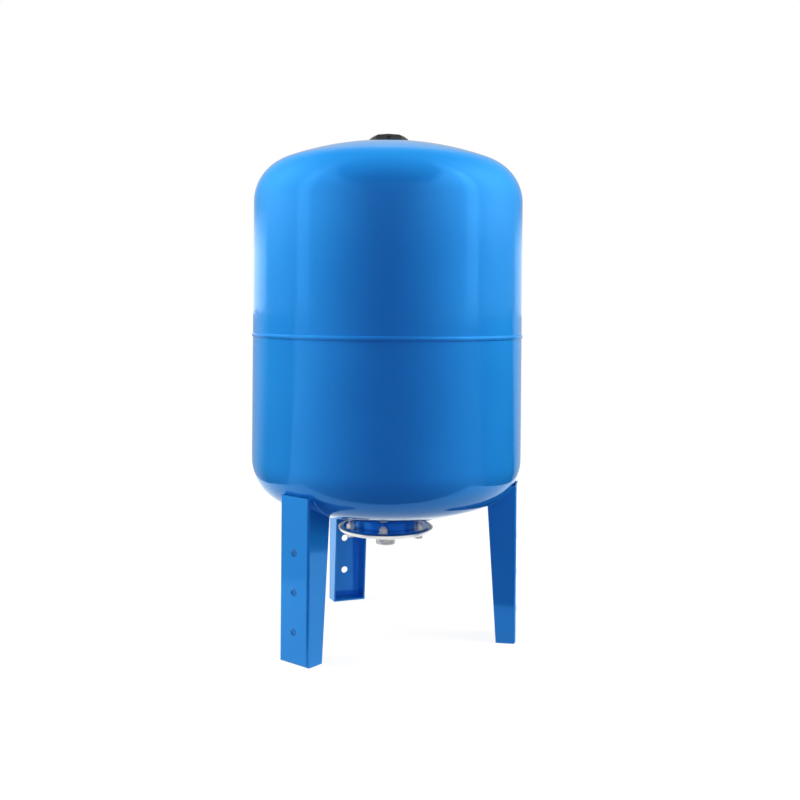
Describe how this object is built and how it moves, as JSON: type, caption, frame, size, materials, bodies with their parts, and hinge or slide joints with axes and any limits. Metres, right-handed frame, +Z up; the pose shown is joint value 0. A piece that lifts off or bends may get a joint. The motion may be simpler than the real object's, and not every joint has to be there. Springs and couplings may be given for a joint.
{
  "type": "well pressure tank",
  "caption": "Upright steel bladder pressure tank on three channel legs, with a domed top cap and a flanged water port underneath.",
  "frame": {"origin": "on the tank's axis at the floor, midway between the three feet", "axes": "+Z up along the tank's axis, +X towards the leg named right_leg"},
  "size_m": [0.4532, 0.4532, 0.8347],
  "materials": {
    "tank_paint": "gloss",
    "zinc": "galvanised",
    "rubber": "matt",
    "brass": "satin",
    "black_plastic": "satin"
  },
  "bodies": {
    "tank": {"upper_shell": "tank_paint", "lower_shell": "tank_paint", "girth_weld": "tank_paint", "right_leg": "tank_paint", "rear_leg": "tank_paint", "left_leg": "tank_paint", "leg_welds": "tank_paint", "neck_ring": "tank_paint", "neck_weld_bead": "tank_paint", "bladder": "rubber", "counter_flange": "zinc", "nozzle": "zinc", "nozzle_weld_bead": "zinc", "flange_bolts": "zinc", "flange_washers": "zinc", "flange_nuts": "zinc", "valve_socket": "tank_paint", "socket_weld_bead": "tank_paint", "valve_gasket": "rubber", "valve_body": "brass", "valve_core": "brass", "valve_dust_cap": "black_plastic"},
    "cap": {"top_cap": "black_plastic"}
  },
  "joints": [
    {"name": "cap_lift", "type": "slide", "parent": "tank", "child": "cap", "axis": [0, 0, 1], "range_m": [0, 0.05]}
  ]
}
